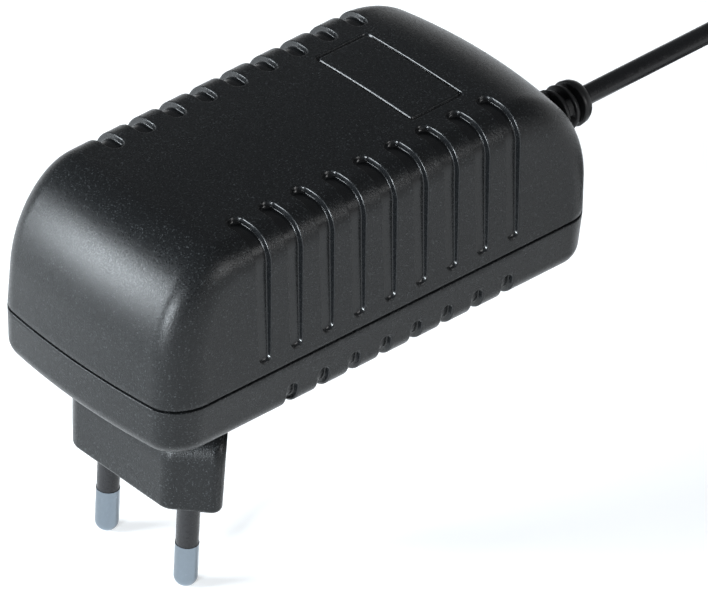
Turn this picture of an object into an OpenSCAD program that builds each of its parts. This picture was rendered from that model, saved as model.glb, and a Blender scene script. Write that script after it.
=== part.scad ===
// Plug-in mains adaptor that drives 12 V LED strip: a moulded two-part case with a
// two-pin mains plug under its front end and a moulded output lead at the rear.
// X runs along the case from the plug end to the lead, +Z is up and the pins point down.
// The origin is midway between the pins, on the face that meets the wall socket.

/* [Case] */
// how far the case reaches in front of the pins
front_reach = 16.7; // [13:0.1:22]
// how far the case reaches behind the pins
rear_reach = 77.8; // [65:0.1:95]
// height of the case's top above the socket face
top_z = 53.9; // [48:0.1:60]
// height of the line where the two halves meet
parting_z = 27.6; // [25:0.2:31]
// height of the case's flat underside
base_z = 18.0; // [16:0.1:21]
// half of the case's width at the pins
half_width = 21.65; // [20:0.05:25]
// how much each side widens for each millimetre towards the rear
side_widening = 0.017; // [0:0.001:0.03]
// how much each side leans in for each millimetre of height
side_draft = 0.055; // [0:0.005:0.08]
// wall thickness of both halves
wall = 2.0; // [1.8:0.1:2.6]
// how far the front face bows out at its middle
front_bow = 1.7; // [0.3:0.1:3]
// how far the rear face bows out at its middle
rear_bow = 2.2; // [0.3:0.1:3]
// crown of the top
top_crown = 0.7; // [0:0.1:1.5]
// length of the front dome's arc
dome_length = 13.0; // [12:0.2:22]
// height of the front dome's arc
dome_height = 17.2; // [12:0.1:20]
// length of the rear arc
rear_arc_length = 19.5; // [8:0.5:22]
// height of the rear arc
rear_arc_height = 19.5; // [8:0.5:20]
// radius of the long shoulders
shoulder_r = 5.0; // [4:0.1:7.5]
// how far the front corners are rounded along the case
front_corner = 2.8; // [2:0.1:8]
// how far the rear corners are rounded along the case
rear_corner = 2.8; // [2:0.1:8]
// radius of the bottom edge
bottom_r = 3.6; // [1:0.1:5]
// height of the shadow line between the halves
shadow_gap = 0.4; // [0.2:0.05:0.6]
// depth of the shadow line
shadow_depth = 0.7; // [0.4:0.05:1]
// thickness of the locking lip inside the joint
lip_t = 0.9; // [0.6:0.05:1.1]
// height of the locking lip above and below the joint
lip_h = 1.4; // [0.8:0.1:2]

/* [Grip grooves] */
// number of grooves on each side
groove_count = 9; // [5:1:10]
// place of the first groove behind the pins
first_groove_x = 3.3; // [1:0.1:8]
// spacing of the grooves
groove_pitch = 6.69; // [5:0.02:7.2]
// width of a groove
groove_w = 2.6; // [1.6:0.1:3.4]
// depth of a groove
groove_depth = 1.0; // [0.5:0.05:1.3]
// how far from the middle the first groove begins
groove_start_y = 13.4; // [11:0.1:16]
// how far from the middle the last groove begins
groove_end_y = 14.1; // [11:0.1:16]
// height of the groove's lower end
groove_low_z = 29.3; // [29:0.1:36]
// top of the notches in the lower half
notch_top_z = 22.5; // [21:0.1:25]

/* [Label place] */
// front edge of the bare label place
label_front_x = 43.8; // [30:0.1:50]
// rear edge of the bare label place
label_rear_x = 55.3; // [51:0.1:62]
// half of the label place's width
label_half_y = 11.2; // [6:0.1:12]
// width of its engraved outline
label_line_w = 0.6; // [0.3:0.05:1]
// depth of its engraved outline
label_line_depth = 0.35; // [0.2:0.05:0.8]

/* [Mains plug] */
// spacing of the two pins
pin_spacing = 19.0; // [18.6:0.1:19.4]
// diameter of the bare pin ends
pin_d = 4.0; // [3.9:0.05:4.1]
// length of the pins below the socket face
pin_length = 19.0; // [18:0.1:20]
// length of the bare metal end
pin_bare = 8.6; // [7:0.1:10]
// diameter of the insulating sleeve
sleeve_d = 3.8; // [3.5:0.05:3.9]
// diameter of the metal inside the sleeve
pin_core_d = 3.0; // [2.6:0.05:3.2]
// clearance of a sleeve in its hole
pin_clearance = 0.15; // [0.05:0.05:0.3]
// diameter of the collar that seats the pin inside
collar_d = 6.0; // [5:0.1:7]
// thickness of that collar
collar_t = 0.8; // [0.5:0.1:1.2]
// half thickness of the plug's body
plinth_half_x = 6.8; // [6.2:0.05:7.2]
// half of the flat of the plug's body
plinth_flat_y = 10.9; // [10:0.1:12]
// half width of the plug's body
plinth_half_y = 17.7; // [17:0.05:18]
// half of the narrow edge at each side of the plug's body
plinth_edge_x = 0.9; // [0.4:0.1:2]
// how much the plug's body grows towards the case
plinth_draft = 0.3; // [0:0.05:0.6]
// radius of the plug body's edges
plinth_r = 1.0; // [0.4:0.1:1.4]

/* [Circuit board] */
// thickness of the board
board_t = 1.6; // [1.0:0.1:2]
// height of the posts under the board
post_h = 2.7; // [2.0:0.1:3.4]
// diameter of the posts
post_d = 5.0; // [4:0.1:6]
// free space between the board and the walls
board_clearance = 0.9; // [0.3:0.1:2]
// clearance of a wire in its hole in the board
wire_clearance = 0.15; // [0.05:0.05:0.3]
// diameter of the wire from a pin to the board
pin_wire_d = 1.2; // [0.8:0.1:1.6]

/* [Strain relief and lead] */
// height of the lead's axis
lead_z = 29.5; // [27:0.1:33]
// diameter of the output lead
cord_d = 3.5; // [3:0.1:3.9]
// diameter of the rings of the strain relief
ring_d = 7.4; // [6:0.1:9]
// diameter of the neck that passes through the wall
neck_d = 5.0; // [4.4:0.1:5.8]
// clearance of the neck in the wall
neck_clearance = 0.15; // [0.05:0.05:0.3]
// length of the strain relief outside the wall
relief_length = 16.7; // [12:0.1:24]
// thickness of each ring
ring_t = 1.5; // [1:0.1:2]
// length of the rounded end
relief_end_t = 3.4; // [2.5:0.1:5]

/* [Output plug] */
// outside diameter of the plug's barrel
barrel_d = 5.5; // [5.4:0.05:5.6]
// bore of the plug's barrel
barrel_bore = 2.1; // [2:0.05:2.6]
// length of the barrel
barrel_length = 9.5; // [8:0.1:12]
// diameter of the plug's grip
grip_d = 9.5; // [8:0.1:11]
// length of the plug's grip
grip_length = 13.0; // [10:0.5:20]
// length of the tapered tail
tail_length = 9.0; // [6:0.5:14]

/* [Hidden] */
ring_steps = 5;        // steps round a side fillet
arc_steps = 9;         // steps round the front and rear arcs
cut = 0.01;            // overlap of a cutter past the face it opens
far = 60;              // longer than anything a cutter passes through
round_fn = 24;
post_fn = 12;
notch_fn = 16;
lip_clearance = 0.15;
base_wall = wall + lip_t;
floor_z = base_z + base_wall;
board_z = floor_z + post_h;
board_top = board_z + board_t;
pin_y = pin_spacing / 2;
pin_top = floor_z + collar_t + 1.1;
groove_r = groove_w / 2;
front_x = -front_reach;
rear_x = rear_reach;
post_inset_x = 9;
post_inset_y = 6.5;
ceiling_z = top_z - top_crown - wall;
width_share = half_width / 21.65;       // what stands on the board follows the case's width
rest_z = -pin_length;                   // the plane that the pins' tips reach
tie_t = 0.8;
tie_w = 4.0;
coil_turns_across = 3;
coil_r = 19.0;                          // radius at the middle of the turns
coil_size = coil_turns_across * cord_d;
coil_z = rest_z + tie_t + 0.1;
coil_top = coil_z + coil_size;
coil_x = 163;
coil_y = -coil_r;
lead_start = rear_x + relief_length;
lead_radius = 16;
plug_y = 12;
plug_z = rest_z + grip_d / 2;
low_z = rest_z + cord_d / 2;
on_coil_z = coil_top + cord_d / 2;

// the lead from the strain relief down onto its coil, chosen by hand
lead_route = [
    [lead_start, 0, lead_z],
    [100, 0, lead_z],
    [108, 0, lead_z],
    [116, 0, lead_z],
    [124, 0, lead_z],
    [129, 0, lead_z],
    [133, 0, 29.3],
    [138.5, 0, 27.9],
    [143.2, 0, 24.6],
    [146.5, 0, 19.9],
    [147.9, 0, 14.5],
    [148.5, 0, 8.6],
    [150.2, 0, 3.0],
    [153.6, 0, -1.6],
    [158.2, 0, -4.7],
    [163, 0, on_coil_z],
    [167.9, -0.65, on_coil_z],
    [172.5, -2.54, on_coil_z],
    [176.4, -5.57, on_coil_z],
    [179.5, -9.5, on_coil_z],
    [181.4, -14.1, on_coil_z],
    [182, -19, on_coil_z],
];

// the short end from the coil to the plug, on the surface
plug_route = [
    [140.5, -6.2, low_z],
    [140.5, -4, low_z],
    [140.8, -1, low_z + 0.1],
    [141.7, 2.2, low_z + 0.4],
    [143.4, 5.2, low_z + 0.9],
    [145.6, 7.8, low_z + 1.5],
    [148.3, 9.9, low_z + 2.1],
    [151.3, 11.4, low_z + 2.6],
    [154, plug_y, plug_z],
    [156.5, plug_y, plug_z],
];

// Forms that several pieces share
function arc_angles(n) = [for (i = [0:n]) 90 * i / n];

// places across the case: share of the half width and share of the side fillet's inset
function across_half() = concat(
    [for (a = arc_angles(ring_steps)) [1 - shoulder_r * (1 - cos(a)) / half_width, 1 - sin(a)]],
    [for (i = [2, 1]) [(1 - shoulder_r / half_width) * i / 3, 0]]
);
function across() = concat(
    [for (p = across_half()) [-p[0], p[1]]],
    [[0, 0]],
    [for (i = [len(across_half()) - 1:-1:0]) across_half()[i]]
);

function side_y(x, z, inset) = half_width + side_widening * x - side_draft * max(0, z - parting_z) - inset;

// one lengthwise section of the case, at a share of its half width
function section(share, fillet, inset, low) =
    let (
        xf = front_x + front_bow * share * share + inset + max(0, front_corner - inset) * fillet,
        xr = rear_x - rear_bow * share * share - inset - max(0, rear_corner - inset) * fillet,
        zt = top_z - top_crown * share * share - inset - max(0, shoulder_r - inset) * fillet,
        ax = max(1, dome_length - inset - max(0, front_corner - inset) * fillet),
        az = max(1, dome_height - inset - max(0, shoulder_r - inset) * fillet),
        bx = max(1, rear_arc_length - inset - max(0, rear_corner - inset) * fillet),
        bz = max(1, rear_arc_height - inset - max(0, shoulder_r - inset) * fillet)
    )
    [for (p = concat(
        [[xf, low]],
        [for (a = arc_angles(arc_steps)) [xf + ax * (1 - cos(a)), zt - az * (1 - sin(a))]],
        [for (a = arc_angles(arc_steps)) [xr - bx * (1 - sin(a)), zt - bz * (1 - cos(a))]],
        [[xr, low]]
    )) [p[0], share * side_y(p[0], p[1], inset), p[1]]];

module loft(rings) {
    n = len(rings[0]);
    m = len(rings);
    walls = [for (i = [0:m - 2]) for (j = [0:n - 1])
        let (a = i * n + j, b = i * n + (j + 1) % n)
        each [[a, a + n, b], [b, a + n, b + n]]];
    ends = [[for (j = [0:n - 1]) j], [for (j = [n - 1:-1:0]) (m - 1) * n + j]];
    polyhedron(points = [for (r = rings) each r], faces = concat(walls, ends), convexity = 6);
}

// the upper half's solid form, set in from its skin and reaching down to a height
module dome_form(inset, low) {
    loft([for (p = across()) section(p[0], p[1], inset, low)]);
}

// outline of the case seen from above, set in from its skin
function plan_ring(z, inset) = concat(
    [for (p = across())
        let (x = rear_x - rear_bow * p[0] * p[0] - inset - max(0, rear_corner - inset) * p[1])
        [x, p[0] * side_y(x, parting_z, inset), z]],
    [for (i = [len(across()) - 1:-1:0])
        let (
            p = across()[i],
            x = front_x + front_bow * p[0] * p[0] + inset + max(0, front_corner - inset) * p[1]
        )
        [x, p[0] * side_y(x, parting_z, inset), z]]
);

// the lower half's solid form, set in from its skin
module base_form(inset, high) {
    r = max(0.6, bottom_r - inset);
    low = base_z + inset;
    lean = 0.25;
    loft(concat(
        [for (a = [0:30:90]) plan_ring(low + r * (1 - cos(a)), inset + lean + r * (1 - sin(a)))],
        [plan_ring(high, inset)]
    ));
}

function groove_x(i) = first_groove_x + groove_pitch * i;
function groove_y(i) = groove_start_y + (groove_end_y - groove_start_y) * i / max(1, groove_count - 1);

// a straight slot with a round end towards the middle of the case and a round end in height
module groove_slot(x, y, z_round, z_open, side) {
    intersection() {
        hull() {
            for (reach = [y + groove_r, far]) {
                translate([x, side * reach, base_z - far / 2])
                    cylinder(h = 2 * far, r = groove_r, $fn = round_fn);
            }
        }
        hull() {
            for (z = [z_round, z_open]) {
                translate([x, 0, z]) rotate([-90 * side, 0, 0])
                    cylinder(h = far, r = groove_r, $fn = round_fn);
            }
        }
    }
}

// a short upright slot in one side of the lower half, open at the bottom
module notch(x, side) {
    translate([x, side * side_y(x, parting_z, groove_depth), notch_top_z - groove_r]) hull() {
        rotate([-90 * side, 0, 0]) cylinder(h = 4, r = groove_r, $fn = notch_fn);
        translate([-groove_r, side > 0 ? 0 : -4, -8]) cube([groove_w, 4, 4]);
    }
}

module post_places() {
    for (x = [front_x + post_inset_x, rear_x - post_inset_x]) {
        for (side = [-1, 1]) {
            translate([x, side * (half_width - post_inset_y), 0]) children();
        }
    }
}

module lead_hole() {
    translate([rear_x - 5, 0, lead_z]) rotate([0, 90, 0])
        cylinder(h = 10, d = neck_d + 2 * neck_clearance, $fn = round_fn);
}

module label_block(inset, height) {
    size = [label_rear_x - label_front_x - 2 * inset, 2 * (label_half_y - inset), height];
    translate([label_front_x + inset, inset - label_half_y, top_z - height / 2]) cube(size);
}

// Case
module upper_housing() {
    color([0.09, 0.095, 0.1]) difference() {
        union() {
            dome_form(0, parting_z + shadow_gap);
            dome_form(shadow_depth, parting_z);
        }
        difference() {
            dome_form(wall, parting_z - 1);
            post_places() translate([0, 0, board_top + 0.3])
                cylinder(h = far, d = post_d - 1, $fn = post_fn);
        }
        difference() {
            for (i = [0:groove_count - 1]) {
                for (side = [-1, 1]) {
                    groove_slot(groove_x(i), groove_y(i), groove_low_z + groove_r, top_z + far, side);
                }
            }
            dome_form(groove_depth, parting_z - 1);
        }
        difference() {
            label_block(0, 10);
            label_block(label_line_w, 12);
            dome_form(label_line_depth, parting_z - 1);
        }
        lead_hole();
    }
}

module plinth_form() {
    corners = [
        [plinth_half_x, plinth_flat_y], [plinth_edge_x, plinth_half_y],
        [-plinth_edge_x, plinth_half_y], [-plinth_half_x, plinth_flat_y],
        [-plinth_half_x, -plinth_flat_y], [-plinth_edge_x, -plinth_half_y],
        [plinth_edge_x, -plinth_half_y], [plinth_half_x, -plinth_flat_y]
    ];
    grown = 1 + plinth_draft / plinth_half_x;
    hull() {
        for (c = corners) {
            inner = [c[0] - sign(c[0]) * min(plinth_r, abs(c[0])), c[1] - sign(c[1]) * plinth_r];
            translate([inner[0], inner[1], plinth_r]) sphere(r = plinth_r, $fn = 12);
            translate([inner[0] * grown, inner[1] * grown, base_z])
                cylinder(h = wall / 2, r = plinth_r, $fn = 12);
        }
    }
}

module lower_housing() {
    color([0.085, 0.09, 0.095]) difference() {
        union() {
            difference() {
                union() {
                    base_form(0, parting_z);
                    base_form(wall + lip_clearance, parting_z + lip_h);
                    plinth_form();
                }
                base_form(base_wall, parting_z + lip_h + 1);
                translate([rear_x - 8, -ring_d / 2 - 0.6, parting_z])
                    cube([16, ring_d + 1.2, lip_h + 1]);
            }
            post_places() translate([0, 0, floor_z - cut])
                cylinder(h = post_h + cut, d = post_d, $fn = post_fn);
        }
        for (i = [1:groove_count - 1]) {
            for (side = [-1, 1]) {
                notch(groove_x(i), side);
            }
        }
        for (side = [-1, 1]) {
            translate([0, side * pin_y, -1])
                cylinder(h = floor_z + 2, d = sleeve_d + 2 * pin_clearance, $fn = round_fn);
        }
        lead_hole();
        translate([relief_inner_x - 0.3, 0, lead_z]) rotate([0, 90, 0])
            cylinder(h = 2.2, d = ring_d + 0.6, $fn = round_fn);
    }
}

// Mains pins
module mains_pin(side) {
    bare_top = pin_bare - pin_length;
    color([0.72, 0.74, 0.77]) translate([0, side * pin_y, 0]) {
        translate([0, 0, pin_d / 2 - pin_length]) sphere(d = pin_d);
        translate([0, 0, pin_d / 2 - pin_length]) cylinder(h = pin_bare - pin_d / 2, d = pin_d);
        translate([0, 0, bare_top - cut]) cylinder(h = pin_top - bare_top + cut, d = pin_core_d);
        translate([0, 0, floor_z]) cylinder(h = collar_t, d = collar_d);
    }
}

module pin_sleeve(side) {
    bare_top = pin_bare - pin_length;
    color([0.07, 0.07, 0.075]) translate([0, side * pin_y, bare_top]) difference() {
        cylinder(h = floor_z - bare_top, d = sleeve_d);
        translate([0, 0, -1]) cylinder(h = floor_z - bare_top + 2, d = pin_core_d);
    }
}

module pin_wire(side) {
    color([0.8, 0.55, 0.35]) translate([0, side * pin_y, pin_top])
        cylinder(h = board_top + 1 - pin_top, d = pin_wire_d);
}

// Circuit board and what stands on it
module circuit_board() {
    edge = base_wall + board_clearance;
    x0 = front_x + front_bow + edge;
    x1 = rear_x - rear_bow - edge;
    y = half_width - edge;
    r = 3;
    color([0.1, 0.35, 0.2]) difference() {
        translate([0, 0, board_z]) linear_extrude(board_t) hull() {
            for (c = [[x0 + r, r - y], [x1 - r, r - y], [x1 - r, y - r], [x0 + r, y - r]]) {
                translate(c) circle(r = r);
            }
        }
        for (side = [-1, 1]) {
            translate([0, side * pin_y, board_z - 1])
                cylinder(h = board_t + 2, d = pin_wire_d + 2 * wire_clearance);
        }
    }
}

module on_board(x, y) {
    translate([x, y * width_share, board_top]) children();
}

// a radial part: a can or disc that stands on two short legs
module legs(spacing, height) {
    for (s = [-1, 1]) {
        translate([s * spacing / 2, 0, 0]) cylinder(h = height, d = 0.7);
    }
}

module disc_part(x, y, d, t) {
    on_board(x, y) {
        legs(d * 0.55, 3.5);
        translate([0, t / 2, 1 + d / 2]) rotate([90, 0, 0]) cylinder(h = t, d = d);
    }
}

module can(x, y, d, h) {
    across = d * min(1, width_share);
    on_board(x, y) difference() {
        cylinder(h = h, d = across);
        translate([0, 0, h - 0.4]) cylinder(h = 1, d = across - 2);
    }
}

module fuse() {
    color([0.35, 0.2, 0.12]) can(-7, 0, 8.4, 8);
}

module varistor() {
    color([0.15, 0.3, 0.55]) disc_part(-6, 10.9, 9, 3.5);
}

module x_capacitor() {
    color([0.75, 0.65, 0.2]) on_board(-4.5, -17) cube([13, 5.6 * width_share, 11]);
}

choke_x = 9;
choke_core_d = 13;
choke_core_bore = 6.6;
choke_core_h = 5;
choke_lift = 1.4;
module choke_core() {
    color([0.2, 0.2, 0.21]) on_board(choke_x, 0) translate([0, 0, choke_lift]) difference() {
        cylinder(h = choke_core_h, d = choke_core_d);
        translate([0, 0, -1]) cylinder(h = choke_core_h + 2, d = choke_core_bore);
    }
}

// two windings, each wrapped round its own side of the ring
module choke_winding() {
    wire = 1.2;
    ring_w = (choke_core_d - choke_core_bore) / 2;
    color([0.7, 0.4, 0.2]) on_board(choke_x, 0) {
        for (s = [0, 180]) {
            rotate([0, 0, s + 30]) rotate_extrude(angle = 120) difference() {
                translate([choke_core_bore / 2 - wire, choke_lift - wire])
                    square([ring_w + 2 * wire, choke_core_h + 2 * wire]);
                translate([choke_core_bore / 2, choke_lift]) square([ring_w, choke_core_h]);
            }
        }
        for (s = [-1, 1]) {
            translate([0, s * (choke_core_d / 2 + wire / 2), 0]) cylinder(h = choke_lift, d = 0.8);
        }
    }
}

module bridge_rectifier() {
    color([0.12, 0.12, 0.13]) on_board(4, 10.8) cube([8.4, 6.4 * width_share, 3.4]);
}

module bulk_capacitor() {
    color([0.13, 0.13, 0.2]) can(19, -11, 12.6, 20);
}

module controller_chip() {
    color([0.12, 0.12, 0.13]) on_board(14, 9.2) cube([6, 8.6 * width_share, 3.3]);
}

heatsink_t = 1.5;
primary_sink_x = 21.2;
secondary_sink_x = 54.5;
module primary_heatsink() {
    color([0.7, 0.71, 0.73]) on_board(primary_sink_x, 0) cube([heatsink_t, 16.5 * width_share, 17]);
}

// a three-legged power part bolted flat against its heatsink
module power_part(x, y) {
    on_board(x, y) {
        translate([0, 0, 4]) cube([4.4, 10 * width_share, 9.2]);
        translate([0, 0, 13.2 - cut]) cube([1.3, 10 * width_share, 3.4]);
        for (i = [0:2]) {
            translate([2, (2.46 + 2.54 * i) * width_share - 0.4, 0]) cube([0.6, 0.8, 4 + cut]);
        }
    }
}

module switching_transistor() {
    color([0.12, 0.12, 0.13]) power_part(primary_sink_x + heatsink_t, 3.4);
}

core_x = 40;
core_w = 20 * width_share;
core_t = 10;
core_h = 15;
leg_t = 4;
bobbin_lift = 2;
// two E halves seen as one closed core with a middle leg, lying across the board
module transformer_core() {
    corner = [-core_t / 2, -core_w / 2, bobbin_lift];
    color([0.18, 0.18, 0.19]) on_board(core_x, 0) translate(corner) difference() {
        cube([core_t, core_w, core_h]);
        for (y = [leg_t, core_w / 2 + leg_t / 2]) {
            translate([-1, y, leg_t - 1])
                cube([core_t + 2, (core_w - 3 * leg_t) / 2, core_h - 2 * leg_t + 2]);
        }
    }
}

module transformer_bobbin() {
    gap = 0.1;
    inner = [core_t + 2 * gap, leg_t + 2 * gap];
    window_z = bobbin_lift + leg_t - 1;
    window_h = core_h - 2 * leg_t + 2;
    color([0.1, 0.1, 0.11]) on_board(core_x, 0) {
        difference() {
            translate([-inner[0] / 2 - 0.7, -inner[1] / 2 - 0.7, window_z + gap])
                cube([inner[0] + 1.4, inner[1] + 1.4, window_h - 2 * gap]);
            translate([-inner[0] / 2, -inner[1] / 2, window_z - 1])
                cube([inner[0], inner[1], window_h + 2]);
        }
        for (s = [-1, 1]) {
            translate([s * (core_t / 2 + 2.6) - 1.5, 2 - core_w / 2, 0])
                cube([3, core_w - 4, window_z + gap]);
            translate([s * (core_t / 2 + 1) - 0.9, -leg_t / 2 - 0.8, window_z + gap - 1])
                cube([1.8, leg_t + 1.6, 1.2]);
        }
    }
}

module transformer_winding() {
    gap = 0.1;
    inner = [core_t + 2 * gap + 1.4, leg_t + 2 * gap + 1.4];
    build_up = (core_w - 3 * leg_t) / 2 - 1.4;
    window_z = bobbin_lift + leg_t - 1;
    window_h = core_h - 2 * leg_t + 2;
    color([0.85, 0.75, 0.25]) on_board(core_x, 0) difference() {
        translate([-inner[0] / 2 - 3.2, -inner[1] / 2 - build_up + 0.5, window_z + 0.5])
            cube([inner[0] + 6.4, inner[1] + 2 * build_up - 1, window_h - 1]);
        translate([-inner[0] / 2, -inner[1] / 2, window_z - 1])
            cube([inner[0], inner[1], window_h + 2]);
    }
}

module optocoupler() {
    color([0.9, 0.9, 0.88]) on_board(core_x - 2.3, -core_w / 2 - 7.6) cube([4.6, 6 * width_share, 3.5]);
}

module y_capacitor() {
    color([0.2, 0.45, 0.7]) disc_part(core_x, core_w / 2 + 4.4, 8, 3.4);
}

module secondary_heatsink() {
    color([0.7, 0.71, 0.73]) on_board(secondary_sink_x, -15.5) cube([heatsink_t, 16.5 * width_share, 15]);
}

module output_diode() {
    color([0.12, 0.12, 0.13]) power_part(secondary_sink_x + heatsink_t, -12.5);
}

module output_capacitor_front() {
    color([0.1, 0.2, 0.15]) can(57, 9, 8, 14);
}

module output_capacitor_rear() {
    color([0.1, 0.2, 0.15]) can(65.6, 9, 8, 12);
}

module output_choke() {
    color([0.55, 0.3, 0.15]) can(65.5, -9, 6, 9);
}

// from the strain relief's inner face to the board
relief_inner_x = rear_x - wall - 1.9;
module output_wire(side) {
    r = 0.6;
    y = side * 1.2;
    end_x = 69.6;
    color(side > 0 ? [0.6, 0.1, 0.1] : [0.08, 0.08, 0.08]) {
        translate([end_x, y, lead_z]) rotate([0, 90, 0]) cylinder(h = relief_inner_x - end_x, r = r);
        translate([end_x, y, lead_z]) sphere(r = r);
        translate([end_x, y, board_top]) cylinder(h = lead_z - board_top, r = r);
    }
}

// Strain relief
module strain_relief() {
    out_x = rear_x + 0.3;
    end_x = lead_start - relief_end_t;
    rings = 3;
    pitch = (end_x - out_x) / rings;
    color([0.06, 0.06, 0.065]) translate([0, 0, lead_z]) rotate([0, 90, 0]) {
        translate([0, 0, relief_inner_x]) cylinder(h = lead_start - relief_inner_x - 0.6, d = neck_d);
        translate([0, 0, relief_inner_x]) cylinder(h = 1.6, d = ring_d);
        for (i = [0:rings - 1]) {
            translate([0, 0, out_x + pitch * i]) cylinder(h = ring_t, d = ring_d);
        }
        translate([0, 0, end_x]) rotate_extrude() intersection() {
            square([ring_d / 2, relief_end_t]);
            translate([0, relief_end_t * 0.45]) scale([1, 0.62]) circle(r = ring_d / 2 + 0.05);
        }
        for (a = [45:90:359]) {
            rotate([0, 0, a]) translate([neck_d / 2 - 0.5, -0.6, out_x])
                cube([ring_d / 2 - neck_d / 2 + 0.2, 1.2, end_x - out_x + 0.5]);
        }
    }
}

// Output lead
function unit(v) = v / norm(v);
// smooth points along a route, by passing a spline through its chosen points
function spline(p, i, t) =
    let (
        a = p[max(0, i - 1)], b = p[i], c = p[i + 1], d = p[min(len(p) - 1, i + 2)]
    )
    0.5 * (2 * b + (c - a) * t + (2 * a - 5 * b + 4 * c - d) * t * t + (3 * b - a - 3 * c + d) * t * t * t);
function smooth(p, steps) = concat(
    [for (i = [0:len(p) - 2]) for (k = [0:steps - 1]) spline(p, i, k / steps)],
    [p[len(p) - 1]]
);
function heading(p, i) = unit(p[min(len(p) - 1, i + 1)] - p[max(0, i - 1)]);
function carried(v, h) = unit(v - (v * h) * h);
function frames(p, i, v) = i >= len(p)
    ? []
    : let (w = carried(v, heading(p, i))) concat([w], frames(p, i + 1, w));

module tube(route, d, steps, first_normal) {
    sides = 8;
    p = smooth(route, steps);
    normals = frames(p, 0, first_normal);
    rings = [for (i = [0:len(p) - 1])
        let (u = normals[i], w = cross(heading(p, i), u))
        [for (k = [0:sides - 1]) p[i] + d / 2 * (cos(360 * k / sides) * u + sin(360 * k / sides) * w)]];
    loft(rings);
}

module output_cord() {
    color([0.05, 0.05, 0.055]) tube(lead_route, cord_d, 1, [0, 0, 1]);
}

module plug_cord() {
    color([0.05, 0.05, 0.055]) tube(plug_route, cord_d, 1, [0, 0, 1]);
}

// the rest of the lead's length, wound as a round coil of three turns across and three high
module cord_coil() {
    r = cord_d / 2;
    corners = [
        [r, 0], [coil_size - r, 0], [coil_size, r], [coil_size, coil_size - r],
        [coil_size - r, coil_size], [r, coil_size], [0, coil_size - r], [0, r]
    ];
    color([0.05, 0.05, 0.055]) translate([coil_x, coil_y, coil_z]) rotate_extrude()
        translate([coil_r - coil_size / 2, 0]) polygon(corners);
}

tie_angle = -60;
module cord_tie() {
    gap = 0.1;
    inside = coil_size + 2 * gap;
    outside = inside + 2 * (tie_t - gap);
    color([0.12, 0.12, 0.12]) translate([coil_x, coil_y, coil_z + coil_size / 2])
        rotate([0, 0, tie_angle]) translate([coil_r, 0, 0]) difference() {
            cube([outside, tie_w, outside], center = true);
            cube([inside + 2 * 0.2, tie_w + 2, inside], center = true);
        }
}

// Output plug, lying on the surface beside the coil
plug_x = plug_route[len(plug_route) - 1][0];
barrel_seat = 5;
barrel_shoulder = 1.6;
module along_plug(x) {
    translate([plug_x + x, plug_y, plug_z]) rotate([0, 90, 0]) children();
}

module dc_plug_grip() {
    color([0.06, 0.06, 0.065]) difference() {
        union() {
            along_plug(0) cylinder(h = tail_length + cut, d1 = cord_d + 1.2, d2 = cord_d + 2.6);
            along_plug(tail_length) cylinder(h = grip_length, d = grip_d);
        }
        along_plug(tail_length + grip_length - barrel_seat)
            cylinder(h = barrel_seat + 1, d = barrel_d + barrel_shoulder);
    }
}

module dc_plug_barrel() {
    color([0.75, 0.75, 0.77]) along_plug(tail_length + grip_length - barrel_seat) difference() {
        union() {
            translate([0, 0, barrel_seat]) cylinder(h = barrel_length, d = barrel_d);
            cylinder(h = barrel_seat + cut, d = barrel_d + barrel_shoulder);
        }
        translate([0, 0, -1]) cylinder(h = barrel_seat + barrel_length + 2, d = barrel_d - 0.9);
    }
}

module dc_plug_insulator() {
    color([0.08, 0.08, 0.08]) along_plug(tail_length + grip_length - barrel_seat) difference() {
        cylinder(h = barrel_seat + barrel_length - 0.4, d = barrel_d - 0.9);
        translate([0, 0, -1]) cylinder(h = barrel_seat + barrel_length + 2, d = barrel_bore + 0.8);
    }
}

module dc_plug_contact() {
    color([0.8, 0.7, 0.4]) along_plug(tail_length + grip_length - barrel_seat) difference() {
        cylinder(h = barrel_seat + barrel_length - 0.8, d = barrel_bore + 0.8);
        translate([0, 0, 2]) cylinder(h = barrel_seat + barrel_length, d = barrel_bore);
    }
}

upper_housing();
lower_housing();
mains_pin(-1);  // mains_pin_near
mains_pin(1);  // mains_pin_far
pin_sleeve(-1);  // pin_sleeve_near
pin_sleeve(1);  // pin_sleeve_far
pin_wire(-1);  // pin_wire_near
pin_wire(1);  // pin_wire_far
circuit_board();
fuse();
varistor();
x_capacitor();
choke_core();
choke_winding();
bridge_rectifier();
bulk_capacitor();
controller_chip();
primary_heatsink();
switching_transistor();
transformer_core();
transformer_bobbin();
transformer_winding();
optocoupler();
y_capacitor();
secondary_heatsink();
output_diode();
output_capacitor_front();
output_capacitor_rear();
output_choke();
output_wire(1);  // output_wire_plus
output_wire(-1);  // output_wire_minus
strain_relief();
output_cord();
cord_coil();
cord_tie();
plug_cord();
dc_plug_grip();
dc_plug_barrel();
dc_plug_insulator();
dc_plug_contact();
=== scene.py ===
"""Plug-in LED driver: a black moulded case with grip grooves, two mains pins and a coiled output lead."""

import math

import bmesh
import bpy
import numpy as np
from mathutils import Matrix, Vector


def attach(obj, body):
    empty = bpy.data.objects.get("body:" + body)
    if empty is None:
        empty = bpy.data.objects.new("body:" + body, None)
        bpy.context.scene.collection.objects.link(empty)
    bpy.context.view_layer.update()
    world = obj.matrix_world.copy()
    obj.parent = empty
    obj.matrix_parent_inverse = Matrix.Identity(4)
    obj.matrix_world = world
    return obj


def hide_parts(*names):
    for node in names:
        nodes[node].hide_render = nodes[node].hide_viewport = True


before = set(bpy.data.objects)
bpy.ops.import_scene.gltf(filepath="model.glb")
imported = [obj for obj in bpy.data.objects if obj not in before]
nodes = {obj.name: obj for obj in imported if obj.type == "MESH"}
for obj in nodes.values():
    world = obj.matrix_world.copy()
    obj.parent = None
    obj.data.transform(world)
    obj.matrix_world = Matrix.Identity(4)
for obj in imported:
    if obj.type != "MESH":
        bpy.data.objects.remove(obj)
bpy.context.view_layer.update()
MM = 0.001

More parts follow.
